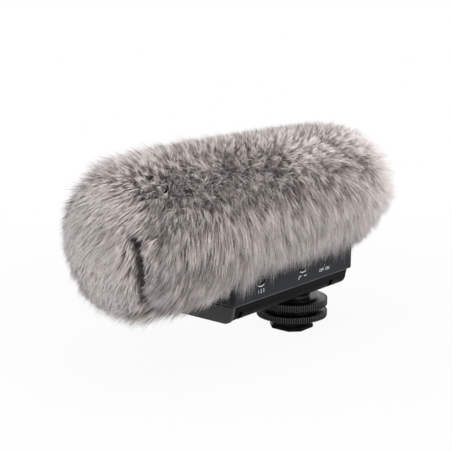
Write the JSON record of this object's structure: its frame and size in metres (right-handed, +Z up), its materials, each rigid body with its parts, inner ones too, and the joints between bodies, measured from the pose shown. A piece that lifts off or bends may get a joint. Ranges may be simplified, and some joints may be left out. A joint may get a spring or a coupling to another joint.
{
  "type": "on camera microphone",
  "caption": "Microphone for a camera shoe: barrel in a fur wind muff on a small control case with battery drawer, base swivel and two knurled shoe wheels.",
  "frame": {"origin": "middle of the shoe foot's underside", "axes": "+Z up out of the shoe, -Y along the barrel towards the sound, +X towards the dials"},
  "size_m": [0.07, 0.185, 0.0982],
  "materials": {
    "black_paint": "fine satin black paint",
    "black_metal": "black anodised, satin",
    "grey_paint": "matt dark grey",
    "black_plastic": "moulded matt black",
    "rubber": "soft matt black",
    "brass": "plain turned",
    "steel": "plated",
    "nylon": "black nylon",
    "board_green": "solder mask",
    "foam": "open cell foam",
    "fur": "long pile imitation fur, grey brown"
  },
  "bodies": {
    "shoe": {"shoe_foot": "black_metal", "shoe_stud": "steel"},
    "clamp_plate": {"clamp_plate": "black_metal"},
    "clamp_wheel": {"clamp_wheel": "black_metal"},
    "lock_washer": {"lock_washer": "nylon"},
    "lock_wheel": {"lock_wheel": "black_metal"},
    "drawer": {"battery_drawer": "grey_paint", "coin_cell": "steel"},
    "pattern_dial": {"pattern_dial": "black_plastic"},
    "low_cut_dial": {"low_cut_dial": "black_plastic"},
    "power_dial": {"power_dial": "black_plastic"},
    "base": {"base_tray": "black_paint", "stud_insert": "brass", "base_screw_front_left": "steel", "base_screw_front_right": "steel", "base_screw_rear_left": "steel", "base_screw_rear_right": "steel", "upper_contact": "brass", "rear_contact": "brass", "case_shell": "black_paint", "case_lid": "black_paint", "lid_screw_front_left": "steel", "lid_screw_front_right": "steel", "lid_screw_rear_left": "steel", "lid_screw_rear_right": "steel", "control_board": "board_green", "pattern_switch": "black_plastic", "low_cut_switch": "black_plastic", "power_switch": "black_plastic", "output_socket": "black_plastic", "socket_nut": "black_metal", "barrel_tube": "black_metal", "front_grille": "black_metal", "rear_cap": "black_metal", "capsule_carrier": "rubber", "mid_capsule": "steel", "side_capsule": "steel", "capsule_lead": "rubber", "front_cradle": "black_paint", "front_ring": "rubber", "rear_cradle": "black_paint", "rear_ring": "rubber", "foam_cover": "foam", "fur_muff": "fur"}
  },
  "joints": [
    {"name": "clamp_plate_slide", "type": "slide", "parent": "shoe", "child": "clamp_plate", "axis": [0, 0, 1], "range_m": [-0.00128, 0.00064]},
    {"name": "clamp_wheel_spin", "type": "hinge", "parent": "clamp_plate", "child": "clamp_wheel", "pos_m": [0, 0, 0.0074], "axis": [0, 0, 1], "range_deg": [-360, 180]},
    {"name": "lock_washer_slide", "type": "slide", "parent": "shoe", "child": "lock_washer", "axis": [0, 0, 1], "range_m": [-0.00096, 0]},
    {"name": "lock_wheel_spin", "type": "hinge", "parent": "lock_washer", "child": "lock_wheel", "pos_m": [0, 0, 0.0132], "axis": [0, 0, 1], "range_deg": [-270, 0]},
    {"name": "base_swivel", "type": "hinge", "parent": "shoe", "child": "base", "pos_m": [0, 0, 0.0213], "axis": [0, 0, 1], "range_deg": [-90, 90]},
    {"name": "drawer_slide", "type": "slide", "parent": "base", "child": "drawer", "axis": [0, -1, 0], "range_m": [0, 0.022]},
    {"name": "pattern_dial_turn", "type": "hinge", "parent": "base", "child": "pattern_dial", "pos_m": [0.0211, -0.0535, 0.0395], "axis": [1, 0, 0], "range_deg": [-30, 30]},
    {"name": "low_cut_dial_turn", "type": "hinge", "parent": "base", "child": "low_cut_dial", "pos_m": [0.0211, -0.0225, 0.0395], "axis": [1, 0, 0], "range_deg": [-30, 30]},
    {"name": "power_dial_turn", "type": "hinge", "parent": "base", "child": "power_dial", "pos_m": [0.0211, -0.0055, 0.0395], "axis": [1, 0, 0], "range_deg": [0, 60]}
  ],
  "couplings": [
    {"joint": "clamp_plate_slide", "follows": "clamp_wheel_spin", "m_per_rad": 0.00020213},
    {"joint": "lock_washer_slide", "follows": "lock_wheel_spin", "m_per_rad": 0.00020213}
  ]
}
